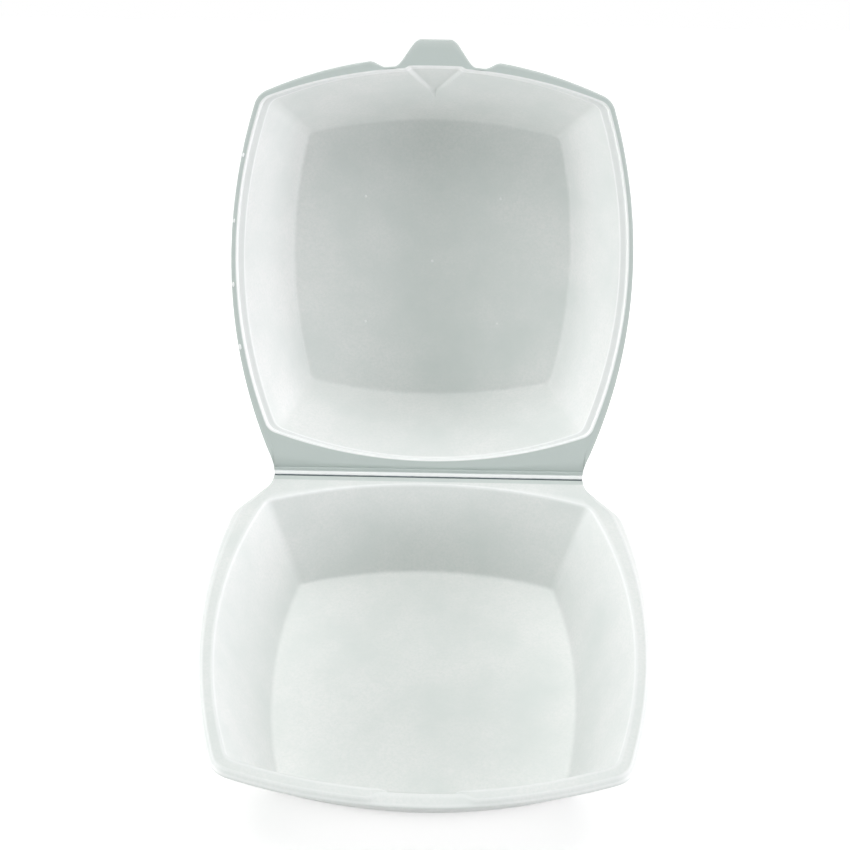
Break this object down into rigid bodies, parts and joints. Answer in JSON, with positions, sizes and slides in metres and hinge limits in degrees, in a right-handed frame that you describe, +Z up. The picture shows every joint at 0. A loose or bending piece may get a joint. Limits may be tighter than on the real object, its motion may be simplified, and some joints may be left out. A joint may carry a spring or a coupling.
{
  "type": "foam clamshell container",
  "caption": "Open hinged foam food container: a bowed square base tray and a matching deep lid with a front tab, folding shut about one crease.",
  "frame": {"origin": "middle of the flat underside of the base tray", "axes": "+Z up, -Y towards the front of the base tray, +Y towards the crease and the lid, X along the crease"},
  "size_m": [0.1354, 0.2059, 0.1695],
  "materials": {
    "foam": "fine closed-cell foam skin, matt to satin"
  },
  "bodies": {
    "base": {"base_tray": "foam"},
    "lid": {"lid": "foam"}
  },
  "joints": [
    {"name": "lid_crease", "type": "hinge", "parent": "base", "child": "lid", "pos_m": [0, 0.0634, 0.0338], "axis": [1, 0, 0], "range_deg": [-72, 108]}
  ]
}
